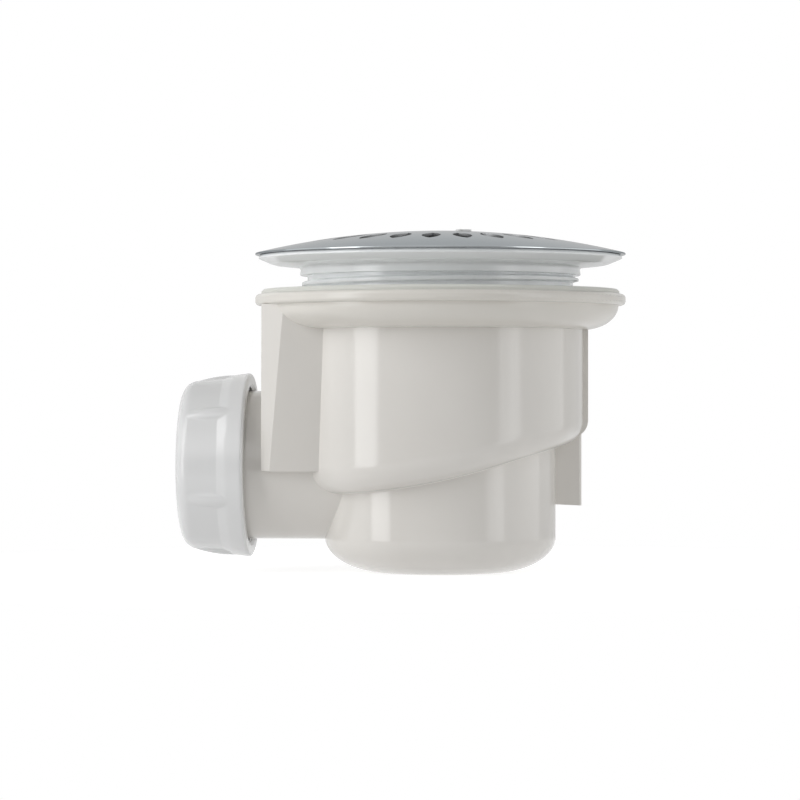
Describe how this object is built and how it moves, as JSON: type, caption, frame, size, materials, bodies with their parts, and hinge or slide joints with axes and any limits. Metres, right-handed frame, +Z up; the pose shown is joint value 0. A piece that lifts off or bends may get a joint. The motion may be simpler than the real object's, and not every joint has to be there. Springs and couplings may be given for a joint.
{
  "type": "shower trap",
  "caption": "Top-access shower trap: slotted dome cover on a screw-down tray flange, moulded body with a weir cup and sloping channel, dip tube, and a side outlet with a compression nut.",
  "frame": {"origin": "middle of the flat underside of the body's cup, on the body's vertical axis", "axes": "+Z up along the body's axis to the dome, -X along the outlet, Y across"},
  "size_m": [0.1375, 0.115, 0.106],
  "materials": {
    "body_plastic": "satin moulded polypropylene, warm white",
    "seal_rubber": "soft off-white seal",
    "flange_plastic": "satin, slightly translucent cool white",
    "insert_plastic": "satin white",
    "ring_rubber": "black rubber",
    "dome_chrome": "polished",
    "nut_plastic": "satin neutral white"
  },
  "bodies": {
    "root": {"trap_body": "body_plastic", "flange_ring": "body_plastic", "tray_seal": "seal_rubber", "top_flange": "flange_plastic", "dip_tube": "insert_plastic", "dip_tube_seal": "ring_rubber", "dome_cover": "dome_chrome", "dome_carrier": "insert_plastic", "union_nut": "nut_plastic", "slip_washer": "insert_plastic", "outlet_seal": "ring_rubber"}
  },
  "joints": []
}
